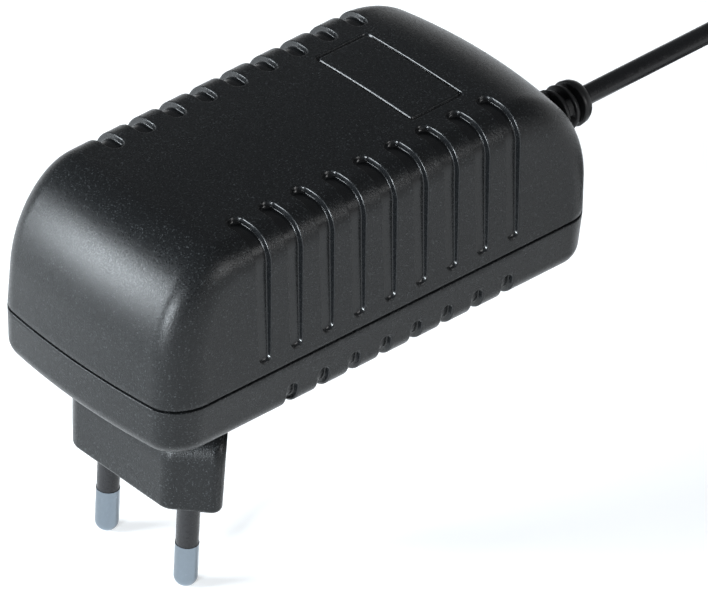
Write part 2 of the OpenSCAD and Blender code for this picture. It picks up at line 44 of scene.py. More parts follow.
# Sizes in millimetres. The vertical corners, the grooves, the notches and the label place follow the photograph
# more closely than the solid parts do. The other sizes of the case are those of the solid parts.
FRONT_X, REAR_X, TOP_Z, PARTING_Z, BASE_Z = -16.7, 77.8, 53.9, 27.6, 18.0
HALF_WIDTH, WIDENING, DRAFT = 21.65, 0.017, 0.055
FRONT_BOW, REAR_BOW, CROWN = 1.7, 2.2, 0.7
DOME_LENGTH, DOME_HEIGHT, REAR_LENGTH, REAR_HEIGHT = 13.0, 17.2, 19.5, 19.5
SHOULDER_R, FRONT_CORNER, REAR_CORNER, BOTTOM_R, LEAN = 5.0, 6.3, 5.0, 3.6, 0.25
SHADOW_GAP, SHADOW_DEPTH = 0.4, 0.7
GROOVE_XS = [3.3 + 6.69 * i for i in range(9)]
GROOVE_YS = [12.6 + 0.7 * i / 8 for i in range(9)]
GROOVE_R, GROOVE_DEPTH, GROOVE_LOW_Z = 1.6, 1.0, 30.3
GROOVE_RUN = 15.7  # height over which a groove widens, upwards from its lower end
GROOVE_SHIFT = 0.4  # how far a groove's lower end lies towards the lead
TIP_SHIFT = 0.22  # how far a groove's upper end lies towards the mains pins
TIP_Y, TIP_RUN = 18.5, 4.0  # the upper end's shift starts here and is complete this much further in
NOTCH_R, NOTCH_TOP_Z, NOTCH_END = 1.3, 23.5, 4.6
LABEL_X0, LABEL_X1, LABEL_Y, LABEL_LINE, LABEL_R, LABEL_DEPTH = 43.4, 55.4, 11.5, 0.8, 1.0, 0.45
POLISH_FROM = -0.06  # the smoother finish starts this far inside a groove's outline, so just outside it
CORD_D, REST_Z = 3.5, -19.0
LEAD_Z, LEAD_START_X = 29.5, 94.5
COIL_X, COIL_Y, COIL_R, COIL_Z = 163.0, -19.0, 19.0, -18.1

# How the case's skin is divided
ROOF_Z = 50.0  # points above this height belong to the roof
FINE_Z = 33.5  # below this height the rows lie close together, for the grooves' lower ends
GRID_X0, GRID_X1 = -1.5, 59.3  # the stretch of columns shared by every row
END_POINTS = 34  # points from the parting line up to that stretch
SHOULDER_STEPS = 14
NOWHERE = -9.0  # stands for "far outside" in the masks below


# Camera and output lead


def place_camera():
    """The photograph's viewpoint, fitted to the outline of the case."""
    camera = bpy.data.objects.new("camera", bpy.data.cameras.new("camera"))
    bpy.context.collection.objects.link(camera)
    right = Vector((0.7251, -0.6869, 0.0485)).normalized()
    back = Vector((-0.5777, -0.5685, 0.5857))
    back = (back - back.dot(right) * right).normalized()
    up = back.cross(right)
    turn = Matrix((right, up, back)).transposed().to_4x4()
    camera.matrix_world = Matrix.Translation(Vector((-0.6593, -0.6925, 0.7260))) @ turn
    camera.data.sensor_fit = "HORIZONTAL"
    camera.data.sensor_width = 36.0
    camera.data.lens = 380.04
    camera.data.clip_start = 0.05
    camera.data.clip_end = 20.0
    bpy.context.scene.camera = camera


def passed_through(points, steps):
    """Close points on a smooth curve through the route's points."""
    p = [points[0]] + list(points) + [points[-1]]
    out = []
    for a, b, c, d in zip(p, p[1:], p[2:], p[3:]):
        a, b, c, d = (np.array(q, float) for q in (a, b, c, d))
        for k in range(steps):
            t = k / steps
            out.append(
                0.5
                * (2 * b + (c - a) * t + (2 * a - 5 * b + 4 * c - d) * t**2 + (3 * b - a - 3 * c + d) * t**3)
            )
    out.append(np.array(points[-1], float))
    return out


def lead_route():
    """Straight out of the bush, down, and on to the top of the coil."""
    on_coil = COIL_Z + 3 * CORD_D + CORD_D / 2
    return [
        (LEAD_START_X, 0, LEAD_Z), (100, 0, LEAD_Z), (108, 0, LEAD_Z), (116, 0, LEAD_Z),
        (124, 0, LEAD_Z), (129, 0, LEAD_Z), (133, 0, 29.3), (138.5, 0, 27.9),
        (143.2, 0, 24.6), (146.5, 0, 19.9), (147.9, 0, 14.5), (148.5, 0, 8.6),
        (150.2, 0, 3.0), (153.6, 0, -1.6), (158.2, 0, -4.7), (163, 0, on_coil),
        (167.9, -0.65, on_coil), (172.5, -2.54, on_coil), (176.4, -5.57, on_coil),
        (179.5, -9.5, on_coil), (181.4, -14.1, on_coil), (182, -19, on_coil),
    ]  # fmt: skip


def coil_turns():
    """Eight and a half turns, three across and three high, each sliding over into the next place."""
    low = COIL_Z + CORD_D / 2
    rings = [COIL_R - CORD_D, COIL_R, COIL_R + CORD_D]
    layers = [low, low + CORD_D, low + 2 * CORD_D]
    order = [(1, 3), (1, 2), (2, 2), (2, 1), (1, 1), (0, 2), (0, 1), (0, 0), (1, 0), (2, 0)]
    heights = layers + [layers[2] + CORD_D]
    places = [(rings[r], heights[h]) for r, h in order]
    out = []
    steps, turns = 40, 8.5
    for k in range(1, int(turns * steps) + 1):
        turn = k / steps
        slide = min(turn + 0.72, len(places) - 1)
        i = min(int(slide), len(places) - 2)
        share = slide - i
        share = 0 if share < 0.62 else (share - 0.62) / 0.38
        share = share * share * (3 - 2 * share)
        radius = places[i][0] * (1 - share) + places[i + 1][0] * share
        height = places[i][1] * (1 - share) + places[i + 1][1] * share
        angle = -2 * math.pi * turn
        out.append(
            np.array([COIL_X + radius * math.cos(angle), COIL_Y + radius * math.sin(angle), height])
        )
    return out


def plug_route():
    """From the coil's last turn up into the plug's grip."""
    low = REST_Z + CORD_D / 2
    return [
        (140.5, -12.5, low), (140.5, -6.2, low), (140.5, -4, low), (140.8, -1, low + 0.1),
        (141.7, 2.2, low + 0.4), (143.4, 5.2, low + 0.9), (145.6, 7.8, low + 1.5),
        (148.3, 9.9, low + 2.1), (151.3, 11.4, low + 2.6), (154, 12, -14.25), (156.5, 12, -14.25),
    ]  # fmt: skip


def wind_lead(sheath):
    """The whole output lead as one round cord: its visible start, the coil and the plug's tail."""
    points = passed_through(lead_route(), 5) + coil_turns() + passed_through(plug_route(), 4)
    curve = bpy.data.curves.new("output_lead", "CURVE")
    curve.dimensions = "3D"
    spline = curve.splines.new("POLY")
    spline.points.add(len(points) - 1)
    for target, p in zip(spline.points, points):
        target.co = (p[0] * MM, p[1] * MM, p[2] * MM, 1)
    curve.bevel_depth = CORD_D / 2 * MM
    curve.bevel_resolution = 4
    curve.use_fill_caps = True
    spline.use_smooth = True
    lead = bpy.data.objects.new("output_lead", curve)
    bpy.context.collection.objects.link(lead)
    curve.materials.append(sheath)
    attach(lead, "root")
    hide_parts("output_cord", "cord_coil", "plug_cord")


# Finishes


def grain_group():
    """Fine uneven surface: a mask of specks, a mask of rare spots for painted glints (lighter colour that
    stands in for tiny highlights), and a normal that follows the specks.
    """
    group = bpy.data.node_groups.new("moulded_grain", "ShaderNodeTree")
    face = group.interface
    for name, value in (("Grain size", 2600.0), ("Relief", 0.3), ("Depth", 0.00003)):
        socket = face.new_socket(name, in_out="INPUT", socket_type="NodeSocketFloat")
        socket.default_value = value
    face.new_socket("Specks", in_out="OUTPUT", socket_type="NodeSocketFloat")
    face.new_socket("Painted glints", in_out="OUTPUT", socket_type="NodeSocketFloat")
    face.new_socket("Normal", in_out="OUTPUT", socket_type="NodeSocketVector")
    n, links = group.nodes, group.links
    given, out = n.new("NodeGroupInput"), n.new("NodeGroupOutput")
    place = n.new("ShaderNodeTexCoord")
    noise = n.new("ShaderNodeTexNoise")
    noise.inputs["Detail"].default_value = 3.0
    noise.inputs["Roughness"].default_value = 0.6
    links.new(place.outputs["Object"], noise.inputs["Vector"])
    links.new(given.outputs["Grain size"], noise.inputs["Scale"])
    bump = n.new("ShaderNodeBump")
    links.new(noise.outputs["Fac"], bump.inputs["Height"])
    links.new(given.outputs["Relief"], bump.inputs["Strength"])
    links.new(given.outputs["Depth"], bump.inputs["Distance"])
    glint_noise = n.new("ShaderNodeTexNoise")
    glint_noise.inputs["Scale"].default_value = 3600.0
    glint_noise.inputs["Detail"].default_value = 1.0
    links.new(place.outputs["Object"], glint_noise.inputs["Vector"])
    rare = n.new("ShaderNodeMapRange")
    rare.interpolation_type = "SMOOTHSTEP"
    rare.inputs["From Min"].default_value = 0.6
    rare.inputs["From Max"].default_value = 0.74
    links.new(glint_noise.outputs["Fac"], rare.inputs["Value"])
    links.new(rare.outputs["Result"], out.inputs["Painted glints"])
    links.new(noise.outputs["Fac"], out.inputs["Specks"])
    links.new(bump.outputs["Normal"], out.inputs["Normal"])
    return group


def finish(
    name, colour, roughness, grain,
    metallic=0.0, spread=0.25, relief=0.3, size=2600.0, depth=0.00003, shine=0.5, painted_glint=0.0,
):  # fmt: skip
    """A moulded, plated or sheathed surface with its own colour, gloss and grain; when a glint strength is
    given, rare spots of the colour are lightened as painted glints that stand in for tiny highlights.
    """
    material = bpy.data.materials.new(name)
    material.use_nodes = True
    n, links = material.node_tree.nodes, material.node_tree.links
    shader = n["Principled BSDF"]
    shader.inputs["Metallic"].default_value = metallic
    shader.inputs["Specular IOR Level"].default_value = shine
    surface = n.new("ShaderNodeGroup")
    surface.node_tree = grain
    surface.inputs["Grain size"].default_value = size
    surface.inputs["Relief"].default_value = relief
    surface.inputs["Depth"].default_value = depth
    tint = n.new("ShaderNodeMix")
    tint.data_type = "RGBA"
    tint.inputs["A"].default_value = (*[c * (1 - spread) for c in colour], 1)
    tint.inputs["B"].default_value = (*[min(1, c * (1 + spread)) for c in colour], 1)
    links.new(surface.outputs["Specks"], tint.inputs["Factor"])
    # Painted glints: rare spots of lighter base colour that stand in for tiny highlights on the grain.
    if painted_glint:
        lit = n.new("ShaderNodeMix")
        lit.data_type = "RGBA"
        lit.inputs["B"].default_value = (painted_glint, painted_glint * 1.08, painted_glint * 1.12, 1)
        links.new(surface.outputs["Painted glints"], lit.inputs["Factor"])
        links.new(tint.outputs["Result"], lit.inputs["A"])
        tint = lit
    links.new(tint.outputs["Result"], shader.inputs["Base Color"])
    gloss = n.new("ShaderNodeMapRange")
    gloss.inputs["From Min"].default_value = 0.3
    gloss.inputs["From Max"].default_value = 0.7
    gloss.inputs["To Min"].default_value = max(0.03, roughness - 0.08)
    gloss.inputs["To Max"].default_value = roughness + 0.08
    links.new(surface.outputs["Specks"], gloss.inputs["Value"])
    links.new(gloss.outputs["Result"], shader.inputs["Roughness"])
    links.new(surface.outputs["Normal"], shader.inputs["Normal"])
    return material


# Case


def side_y(x, z):
    """Half the case's width at a place along it and a height."""
    return HALF_WIDTH + WIDENING * x - DRAFT * np.maximum(0, z - PARTING_Z)


def rows_across():
    """Places across the case, as (share of the width, share of the shoulder's rounding)."""
    flat = [0, 0.12, 0.25, 0.37, 0.45]
    label_ys = (10.4, 10.6, 10.7, 10.78, 10.86, 10.96, 11.1, 11.24, 11.34, 11.42, 11.5, 11.58, 11.75)
    half_width_there = 21.06
    label = [y / half_width_there for y in label_ys]
    ends = [0.568, 0.576] + [0.58 + 0.0066 * i for i in range(20)] + [0.72, 0.74, 0.755]
    half = [(s, 0.0) for s in flat + label + ends]
    for k in range(SHOULDER_STEPS + 1):
        a = math.radians(90 - 90 * k / SHOULDER_STEPS)
        half.append((1 - SHOULDER_R * (1 - math.cos(a)) / HALF_WIDTH, 1 - math.sin(a)))
    return [(-s, f) for s, f in reversed(half)] + half[1:]


def groove_columns():
    """Places along the case, close together at each groove's walls and at the label outline."""
    xs = {GRID_X0, -0.6, 0.4, GRID_X1}
    offsets = (0, 0.5, 0.9, 1.08, 1.16, 1.24, 1.32, 1.4, 1.48, 1.55, 1.62, 1.72, 1.9, 2.3, 2.9)
    for g in GROOVE_XS:
        xs.update(round(g + s * o, 3) for o in offsets for s in (-1, 1))
    line_offsets = (-0.15, -0.05, 0, 0.08, 0.16, 0.28, 0.4, 0.52, 0.64, 0.72, 0.8, 0.9, 1.05)
    for edge, way in ((LABEL_X0, 1), (LABEL_X1, -1)):
        xs.update(round(edge + way * o, 3) for o in line_offsets)
    closest = 0.045
    kept = []
    for x in sorted(xs):
        if GRID_X0 <= x <= GRID_X1 and (not kept or x - kept[-1] > closest):
            kept.append(x)
    return kept


def section_line(share, fillet, xs, low):
    """One lengthwise line over the case, as points (x, z), down to the height low at both ends."""
    xf = FRONT_X + FRONT_BOW * share**2 + FRONT_CORNER * fillet
    xr = REAR_X - REAR_BOW * share**2 - REAR_CORNER * fillet
    zt = TOP_Z - CROWN * share**2 - SHOULDER_R * fillet
    ax, az = DOME_LENGTH - FRONT_CORNER * fillet, DOME_HEIGHT - SHOULDER_R * fillet
    bx, bz = REAR_LENGTH - REAR_CORNER * fillet, REAR_HEIGHT - SHOULDER_R * fillet

    def height(x):
        front = np.clip((xf + ax - x) / ax, 0, 1)
        rear = np.clip((x - xr + bx) / bx, 0, 1)
        return zt - az * (1 - np.sqrt(1 - front**2)) - bz * (1 - np.sqrt(1 - rear**2))

    def evenly(line, count):
        line = np.array(line)
        run = np.concatenate([[0], np.cumsum(np.linalg.norm(np.diff(line, axis=0), axis=1))])
        at = np.linspace(0, run[-1], count)
        return np.stack([np.interp(at, run, line[:, 0]), np.interp(at, run, line[:, 1])], 1)

    def end_line(x_face, length, rise, x_stop, way):
        arc = [(x_face, low)]
        for a in np.linspace(0, math.pi / 2, 80):
            x, z = x_face + way * length * (1 - math.cos(a)), zt - rise * (1 - math.sin(a))
            if way * (x_stop - x) <= 0:
                break
            arc.append((x, z))
        arc.append((x_stop, float(height(np.array(x_stop)))))
        return evenly(arc, END_POINTS)

    front = end_line(xf, ax, az, xs[0], 1)
    rear = end_line(xr, bx, bz, xs[-1], -1)[::-1]
    middle = np.array([(x, float(height(np.array(x)))) for x in xs])
    return np.concatenate([front[:-1], middle, rear[1:]])


def case_grid(low):
    """The upper half's skin as a grid: near side, over the top, and down the far side."""
    xs = groove_columns()
    rows = []
    for share, fillet in rows_across():
        line = section_line(share, fillet, xs, low)
        y = share * side_y(line[:, 0], line[:, 1])
        rows.append(np.stack([line[:, 0], y, line[:, 1]], 1))
    edge = line  # the outermost row, where the shoulder meets the side
    first = END_POINTS - 1
    last = first + len(xs) - 1
    floor_x = edge[:, 0].copy()
    floor_x[: first + 1] = np.linspace(edge[0, 0], edge[first, 0], first + 1)
    floor_x[last:] = np.linspace(edge[last, 0], edge[-1, 0], len(edge) - last)
    fine = [33.5, 32.6, 32.2, 31.9, 31.6, 31.3, 31.0, 30.75, 30.5, 30.3, 30.1, 29.9, 29.75, 29.6, 29.48, 29.36]
    fine += [29.26, 29.14, 29.0, 28.8, 28.5, low]
    reference = edge[first, 1]
    heights = [reference - (reference - FINE_Z) * k / 9 for k in range(1, 9)] + fine
    caps = []
    for z in heights:
        g = (z - low) / (reference - low)
        cap_z = low + (edge[:, 1] - low) * g
        middle = slice(first, last + 1)
        if z <= FINE_Z:
            cap_z[middle] = z
        else:
            share = (z - FINE_Z) / (reference - FINE_Z)
            cap_z[middle] = FINE_Z + (edge[middle, 1] - FINE_Z) * share
        for part, fixed in ((slice(0, first), first), (slice(last + 1, None), last)):
            cap_z[part] = low + (edge[part, 1] - low) * (cap_z[fixed] - low) / (edge[fixed, 1] - low)
        lift = np.where(edge[:, 1] > low + 1e-6, (cap_z - low) / np.maximum(edge[:, 1] - low, 1e-6), 0)
        cap_x = floor_x + (edge[:, 0] - floor_x) * lift
        caps.append((cap_x, cap_z))
    near = [np.stack([x, -side_y(x, z), z], 1) for x, z in reversed(caps)]
    far = [np.stack([x, side_y(x, z), z], 1) for x, z in caps]
    return near + rows + far


def step(s, start, end):
    """0 up to start and 1 from end on, with a smooth rise between them."""
    t = np.clip((s - start) / (end - start), 0, 1)
    return t * t * (3 - 2 * t)


def up_the_side(p):
    """0 at a groove's lower end and 1 from the shoulder on."""
    return np.clip((p[:, 2] - GROOVE_LOW_Z) / GROOVE_RUN, 0, 1)


def towards_the_tip(p):
    """0 at the shoulder and 1 at a groove's upper end on the roof."""
    return np.where(p[:, 2] > ROOF_Z, np.clip((TIP_Y - np.abs(p[:, 1])) / TIP_RUN, 0, 1), 0)


def gather_columns(p):
    """Draws the columns of points in where the grooves narrow towards their lower ends."""
    rise, tip = up_the_side(p), towards_the_tip(p)
    for gx in GROOVE_XS:
        offset = p[:, 0] - gx
        near = np.clip((3.0 - np.abs(offset)) / 1.1, 0, 1)
        p[:, 0] += near * (GROOVE_SHIFT * (1 - rise) - TIP_SHIFT * tip - 0.24 * (1 - rise) * offset)


def inside_groove(p):
    """How far each point lies inside the outline of its nearest grip groove."""
    best = np.full(len(p), NOWHERE)
    across, height, rise, tip = np.abs(p[:, 1]), p[:, 2], up_the_side(p), towards_the_tip(p)
    half = GROOVE_R * (0.76 + 0.24 * rise)
    for gx, gy in zip(GROOVE_XS, GROOVE_YS):
        dx = p[:, 0] - gx - GROOVE_SHIFT * (1 - rise) + TIP_SHIFT * tip
        top = half - np.hypot(dx, np.maximum(0, gy + GROOVE_R - across))
        side = half - np.hypot(dx, np.maximum(0, GROOVE_LOW_Z + 0.78 * GROOVE_R - height))
        best = np.maximum(best, np.minimum(top, side))
    return best


def inside_label_line(p):
    """How far each point lies inside the sunk outline of the label place."""
    middle, half = (LABEL_X0 + LABEL_X1) / 2, (LABEL_X1 - LABEL_X0) / 2
    over_x = np.abs(p[:, 0] - middle) - half + LABEL_R
    over_y = np.abs(p[:, 1]) - LABEL_Y + LABEL_R
    corner = np.hypot(np.maximum(over_x, 0), np.maximum(over_y, 0))
    edge = LABEL_R - corner - np.minimum(np.maximum(over_x, over_y), 0)
    inside = np.minimum(edge, LABEL_LINE - edge)
    return np.where(p[:, 2] > ROOF_Z, inside, NOWHERE)


def mesh_from_grid(name, grid):
    """An open skin through rows of points given in millimetres."""
    count = len(grid[0])
    points = np.concatenate(grid) * MM
    faces = []
    for i in range(len(grid) - 1):
        for j in range(count - 1):
            a = i * count + j
            faces.append((a, a + 1, a + count + 1, a + count))
    mesh = bpy.data.meshes.new(name)
    mesh.from_pydata(points.tolist(), [], faces)
    return mesh


def tube_faces(rows, count):
    """The faces between closed rings of points, each joined to the next."""
    faces = []
    for i in range(rows - 1):
        for j in range(count):
            a, b = i * count + j, i * count + (j + 1) % count
            faces.append((a, b, b + count, a + count))
    return faces


def weld(mesh):
    """Joins points that lie on each other and turns every face outwards."""
    work = bmesh.new()
    work.from_mesh(mesh)
    bmesh.ops.remove_doubles(work, verts=work.verts, dist=2e-6)
    bmesh.ops.recalc_face_normals(work, faces=work.faces)
    work.to_mesh(mesh)
    work.free()


def read_points(mesh):
    """The mesh's points in millimetres, and their normals."""
    points = np.empty(len(mesh.vertices) * 3)
    mesh.vertices.foreach_get("co", points)
    normals = np.array([v.normal[:] for v in mesh.vertices])
    return points.reshape(-1, 3) / MM, normals


def rim(mesh, rings):
    """Folds the open lower edge inwards: each ring is (in, height) in millimetres."""
    work = bmesh.new()
    work.from_mesh(mesh)
    work.normal_update()
    edge = [e for e in work.edges if e.is_boundary]
    inward = {}
    for e in edge:
        for v in e.verts:
            inward[v.index] = Vector((-v.normal.x, -v.normal.y, 0)).normalized()
    work.verts.index_update()
    start = {v: (v.co.copy(), inward[v.index]) for e in edge for v in e.verts}
    for depth, height in rings:
        made = bmesh.ops.extrude_edge_only(work, edges=edge)
        edge = [g for g in made["geom"] if isinstance(g, bmesh.types.BMEdge) and g.is_boundary]
        fresh = {g for g in made["geom"] if isinstance(g, bmesh.types.BMVert)}
        moved = {}
        for v in fresh:
            for e in v.link_edges:
                other = e.other_vert(v)
                if other in start:
                    co, way = start[other]
                    v.co = co + way * depth * MM
                    v.co.z = height * MM
                    moved[v] = (co, way)
                    break
        start = moved
    bmesh.ops.recalc_face_normals(work, faces=work.faces)
    work.verts.index_update()
    count = len(work.verts)

    def place_in_order(face):
        first, second, third, *_ = sorted(v.index for v in face.verts)
        return (first * count + second) * count + third

    # The extrusion makes its faces in an order that changes from run to run
    work.faces.sort(key=place_in_order)
    work.to_mesh(mesh)
    work.free()


def polish_floors(mesh, on_floor):
    """Gives the faces whose corners all lie on a groove's floor the second, smoother finish."""
    for face in mesh.polygons:
        if all(on_floor[v] for v in face.vertices):
            face.material_index = 1


def show(mesh, name, *finishes):
    """Puts a mesh in the scene as a smooth piece with its finishes."""
    piece = bpy.data.objects.new(name, mesh)
    bpy.context.collection.objects.link(piece)
    for material in finishes:
        mesh.materials.append(material)
    mesh.shade_smooth()
    return piece


def upper_case(material, floor_material):
    """The upper half: domed skin, sunk grooves and label outline, and the shadow step at the parting line."""
    low = PARTING_Z + SHADOW_GAP + 0.2
    mesh = mesh_from_grid("upper_case", case_grid(low))
    weld(mesh)
    points, normals = read_points(mesh)
    gather_columns(points)
    inside = inside_groove(points)
    depth = GROOVE_DEPTH * (0.6 + 0.4 * up_the_side(points)) * step(inside, -0.05, 0.3)
    depth = np.maximum(depth, LABEL_DEPTH * step(inside_label_line(points), -0.04, 0.26))
    points -= normals * depth[:, None]
    mesh.vertices.foreach_set("co", (points * MM).ravel())
    polish_floors(mesh, np.maximum(inside, inside_label_line(points)) > POLISH_FROM)
    gap = PARTING_Z + SHADOW_GAP
    step_rings = [(0.06, gap + 0.06), (0.2, gap), (SHADOW_DEPTH, gap), (SHADOW_DEPTH, PARTING_Z)]
    rim(mesh, step_rings + [(2.0, PARTING_Z)])
    piece = show(mesh, "upper_case", material, floor_material)
    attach(piece, "root")
    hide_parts("upper_housing")


def plan_ring(z, inset):
    """The lower half's outline at a height, set in from its skin, starting at the middle of the front."""
    rows = [(s, f) for s, f in rows_across() if s >= 0]

    def end(face, way, bow, corner):
        out = []
        for s, f in rows:
            x = face + way * (bow * s**2 + inset + max(0, corner - inset) * f)
            out.append((x, s * (HALF_WIDTH + WIDENING * x - inset), z))
        return out

    front = end(FRONT_X, 1, FRONT_BOW, FRONT_CORNER)
    rear = end(REAR_X, -1, REAR_BOW, REAR_CORNER)
    side = [(x, HALF_WIDTH + WIDENING * x - inset, z) for x in groove_columns()]
    far = front + side + rear[::-1]
    near = [(x, -y, z) for x, y, z in far[1:-1]][::-1]
    return np.array(far + near)


def lower_case(material, floor_material):
    """The lower half: rings from the parting line round the bottom edge, with the sunk notches."""
    high = BASE_Z + BOTTOM_R
    rings = [(PARTING_Z, 1.2), (PARTING_Z, 0.15), (PARTING_Z - 0.05, 0.05), (PARTING_Z - 0.16, 0.0)]
    heights = [26.6, 25.4, 24.4, 23.9, 23.7, 23.58, 23.5, 23.42, 23.34, 23.24, 23.1]
    for z in heights + [22.9, 22.7, 22.5, 22.3, 22.1, 21.9, 21.7]:
        rings.append((z, LEAN * (PARTING_Z - z) / (PARTING_Z - high)))
    bottom_steps = 22
    for k in range(bottom_steps + 1):
        a = math.radians(90 - 90 * k / bottom_steps)
        rings.append((BASE_Z + BOTTOM_R * (1 - math.cos(a)), LEAN + BOTTOM_R * (1 - math.sin(a))))
    rings += [(BASE_Z, LEAN + BOTTOM_R + more) for more in (0.3, 0.55, 0.7, 0.85, 1.0, 1.15, 1.35, 1.7, 3.0)]
    grid = [plan_ring(z, inset) for z, inset in rings]
    insets = np.repeat([inset for _, inset in rings], len(grid[0]))
    count = len(grid[0])
    points = np.concatenate(grid)
    faces = tube_faces(len(grid), count)
    last = (len(grid) - 1) * count
    faces.append(tuple(last + j for j in range(count)))
    mesh = bpy.data.meshes.new("lower_case")
    mesh.from_pydata((points * MM).tolist(), [], faces)
    mesh.update()
    normals = read_points(mesh)[1]
    if normals[0, 0] > 0:  # the first point is at the front, where outwards is -X
        normals = -normals
    inside = np.full(len(points), NOWHERE)
    above = np.maximum(0, points[:, 2] - NOTCH_TOP_Z + NOTCH_R)
    beyond = np.maximum(0, insets - NOTCH_END + NOTCH_R)
    for gx in GROOVE_XS[1:]:
        inside = np.maximum(inside, NOTCH_R - np.sqrt((points[:, 0] - gx) ** 2 + above**2 + beyond**2))
    on_side = np.abs(points[:, 1]) > HALF_WIDTH - NOTCH_END - 1.5
    depth = np.where(on_side, GROOVE_DEPTH * step(inside, -0.04, 0.2), 0)
    points -= normals * depth[:, None]
    mesh.vertices.foreach_set("co", (points * MM).ravel())
    polish_floors(mesh, on_side & (inside > POLISH_FROM))
    weld(mesh)
    piece = show(mesh, "lower_case", material, floor_material)
    weighted = piece.modifiers.new("even_shading", "WEIGHTED_NORMAL")
    weighted.keep_sharp = False
    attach(piece, "root")
    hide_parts("lower_housing")


def rounded_outline(corners, grow):
    """A closed outline with each corner turned into an arc; grow moves every side outwards."""
    middle = np.mean([c[:2] for c in corners], axis=0)
    lines = []
    for (x0, y0, _), (x1, y1, _) in zip(corners, corners[1:] + corners[:1]):
        way = np.array([x1 - x0, y1 - y0]) / math.hypot(x1 - x0, y1 - y0)
        out = np.array([way[1], -way[0]])
        if out @ (np.array([x0, y0]) - middle) < 0:
            out = -out
        lines.append((out, out @ np.array([x0, y0]) + grow))
    points = []
    for (out_a, far_a), (out_b, far_b), (_, _, radius) in zip(lines[-1:] + lines[:-1], lines, corners):
        radius = max(0.05, radius + grow)
        centre = np.linalg.solve(np.array([out_a, out_b]), np.array([far_a, far_b]) - radius)
        start = math.atan2(out_a[1], out_a[0])
        turn = (math.atan2(out_b[1], out_b[0]) - start + math.pi) % (2 * math.pi) - math.pi
        for k in range(9):
            a = start + turn * k / 8
            points.append(centre + radius * np.array([math.cos(a), math.sin(a)]))
    return points


def plug_body(material):
    """The body that enters the recessed socket: six sides, well rounded, with a soft lower edge."""
    corners = [
        (6.8, 9.5, 2.5), (0.2, 17.1, 1.8), (-1.4, 17.1, 1.8), (-6.8, 10.9, 3.2),
        (-6.8, -10.9, 3.2), (-1.4, -17.1, 1.8), (0.2, -17.1, 1.8), (6.8, -9.5, 2.5),
    ]  # fmt: skip
    soft, top = 0.9, BASE_Z + 0.5
    levels = [(0.0, -2.5), (0.0, -soft - 0.2)]
    for k in range(9):
        a = math.radians(90 * k / 8)
        levels.append((soft * (1 - math.cos(a)), soft * (math.sin(a) - 1)))
    levels += [(z, 0.35 * z / top) for z in (3.0, 9.0, top)]
    rings = [[(x, y, z) for x, y in rounded_outline(corners, grow)] for z, grow in levels]
    count = len(rings[0])
    faces = [tuple(range(count))] + tube_faces(len(rings), count)
    faces.append(tuple((len(rings) - 1) * count + j for j in range(count)))
    mesh = bpy.data.meshes.new("plug_body")
    mesh.from_pydata((np.concatenate(rings) * MM).tolist(), [], faces)
    weld(mesh)
    piece = show(mesh, "plug_body", material)
    piece.modifiers.new("even_shading", "WEIGHTED_NORMAL").keep_sharp = False
    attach(piece, "root")
    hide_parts("lower_housing")


def strain_relief(material):
    """The ribbed bush that guards the lead: rings on a neck, joined by webs turned a quarter each time."""
    start, wall, end = 73.9, REAR_X - 2.0, LEAD_START_X
    bore, neck, web, back, last_wide, soft = 1.75, 2.5, 3.55, 3.7, 2.25, 0.75
    narrow_rings = 7
    # Each station is (x, radius, which way its webs are turned, or 0 for a plain round)
    stations = [(start, bore, 0), (start, 3.5, 0), (start + 0.2, back, 0), (start + 1.4, back, 0)]
    stations += [(start + 1.6, 3.5, 0), (start + 1.65, neck, 0), (wall + 1.5, neck, 0)]
    ring_starts = [76.9 + 2.23 * k for k in range(narrow_rings)] + [end - last_wide]
    for k, x in enumerate(ring_starts):
        wide = 1.15 if k < narrow_rings else last_wide
        front = 4.05 if k else 3.9
        turn = 1 if k % 2 else -1
        if k:
            stations += [(x - 0.06, neck, turn), (x - 0.02, neck + 0.05, turn)]
        stations += [(x, front - 0.35, 0), (x + 0.06, front - 0.12, 0), (x + 0.2, front, 0)]
        stations.append((x + wide * 0.6, (front + back) / 2, 0))
        if k < narrow_rings:
            rear = x + wide
            stations += [(rear - 0.2, back, 0), (rear - 0.05, back - 0.12, 0), (rear, back - 0.35, 0)]
            stations += [(rear + 0.03, neck + 0.05, -turn), (rear + 0.07, neck, -turn)]
        else:
            for q in range(1, 8):
                a = math.radians(90 * q / 7)
                stations.append((end - soft * (1 - math.sin(a)), back - soft * (1 - math.cos(a)), 0))
            stations += [(end, 2.4, 0), (end, bore, 0)]
    around = 72
    rings = []
    for x, r, turn in stations:
        ring = []
        for j in range(around):
            a = 2 * math.pi * j / around
            radius = r
            if turn:
                near = abs(math.sin(a + 0.6 + (math.pi / 2 if turn > 0 else 0)))
                radius = r + (web - r) * float(step(0.5 - near, 0, 0.12))
            ring.append((x, radius * math.cos(a), LEAD_Z + radius * math.sin(a)))
        rings.append(ring)
    mesh = mesh_from_grid("strain_relief_bush", [np.array(r + r[:1]) for r in rings])
    weld(mesh)
    piece = show(mesh, "strain_relief_bush", material)
    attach(piece, "root")
    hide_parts("strain_relief")


# Studio


